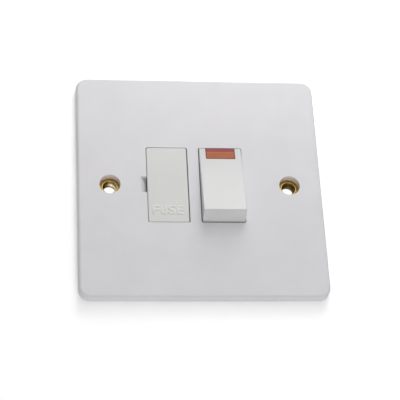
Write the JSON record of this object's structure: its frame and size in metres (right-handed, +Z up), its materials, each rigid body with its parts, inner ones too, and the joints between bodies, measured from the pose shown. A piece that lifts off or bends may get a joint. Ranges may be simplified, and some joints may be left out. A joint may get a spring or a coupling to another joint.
{
  "type": "fused spur unit",
  "caption": "Switched fused connection unit for a wall box: flat square plate with a pull-out fuse carrier, a rocker switch with a neon lens, and terminals in a rear housing.",
  "frame": {"origin": "middle of the plate between the two fixing holes, on the wall plane that the rim lies on", "axes": "+X to the right seen from the front, +Y into the wall, +Z up; the face looks along -Y"},
  "size_m": [0.082, 0.0277, 0.082],
  "materials": {
    "plate": "smooth moulded, satin sheen",
    "carrier": "smooth moulded, warm white",
    "rocker": "smooth moulded, warm white",
    "housing": "moulded, fine texture",
    "lens": "translucent red",
    "brass": "bright",
    "bronze": "stamped spring bronze",
    "silver": "silver contact face",
    "steel": "zinc plated",
    "plunger": "moulded",
    "ceramic": "unglazed",
    "glass": "clear",
    "resistor": "lacquered",
    "lead": "sleeved wire"
  },
  "bodies": {
    "unit": {"front_plate": "plate", "base_housing": "housing", "housing_screws": "steel", "eyelet_left": "brass", "eyelet_right": "brass", "earth_strap": "brass", "terminal_screws": "steel", "live_bridge": "bronze", "load_clip": "bronze", "neutral_bridge": "bronze", "live_fixed_strip": "bronze", "neutral_fixed_strip": "bronze", "live_fixed_button": "silver", "neutral_fixed_button": "silver", "neon_lamp": "glass", "neon_resistor": "resistor", "neon_lead_live": "lead", "neon_lead_neutral": "lead", "terminal_live_in": "brass", "terminal_neutral_in": "brass", "terminal_earth_supply": "brass", "terminal_earth_load": "brass", "terminal_live_out": "brass", "terminal_neutral_out": "brass"},
    "rocker": {"rocker": "rocker", "neon_lens": "lens", "live_spring": "steel", "neutral_spring": "steel"},
    "live_plunger": {"live_plunger": "plunger"},
    "neutral_plunger": {"neutral_plunger": "plunger"},
    "live_contact": {"live_moving_contact": "bronze", "live_moving_button": "silver"},
    "neutral_contact": {"neutral_moving_contact": "bronze", "neutral_moving_button": "silver"},
    "fuse_carrier": {"fuse_carrier": "carrier", "fuse_tube": "ceramic", "fuse_cap_supply": "brass", "fuse_cap_load": "brass"}
  },
  "joints": [
    {"name": "rocker_tilt", "type": "hinge", "parent": "unit", "child": "rocker", "pos_m": [0.00719, 0, 0], "axis": [1, 0, 0], "range_deg": [0, 21.12]},
    {"name": "fuse_carrier_slide", "type": "slide", "parent": "unit", "child": "fuse_carrier", "axis": [0, -1, 0], "range_m": [0, 0.013]},
    {"name": "live_contact_tilt", "type": "hinge", "parent": "unit", "child": "live_contact", "pos_m": [0.00379, 0.0104, 0], "axis": [1, 0, 0], "range_deg": [-25.1, 0]},
    {"name": "live_plunger_slide", "type": "slide", "parent": "rocker", "child": "live_plunger", "axis": [0, 0.9831, -0.1833], "range_m": [0, 0.0005], "stiffness_N_per_m": 200, "springref_m": 0.003},
    {"name": "neutral_contact_tilt", "type": "hinge", "parent": "unit", "child": "neutral_contact", "pos_m": [0.01059, 0.0104, 0], "axis": [1, 0, 0], "range_deg": [-25.1, 0]},
    {"name": "neutral_plunger_slide", "type": "slide", "parent": "rocker", "child": "neutral_plunger", "axis": [0, 0.9831, -0.1833], "range_m": [0, 0.0005], "stiffness_N_per_m": 200, "springref_m": 0.003}
  ],
  "couplings": [
    {"joint": "live_contact_tilt", "follows": "rocker_tilt", "ratio": -1.1837},
    {"joint": "neutral_contact_tilt", "follows": "rocker_tilt", "ratio": -1.1837}
  ]
}
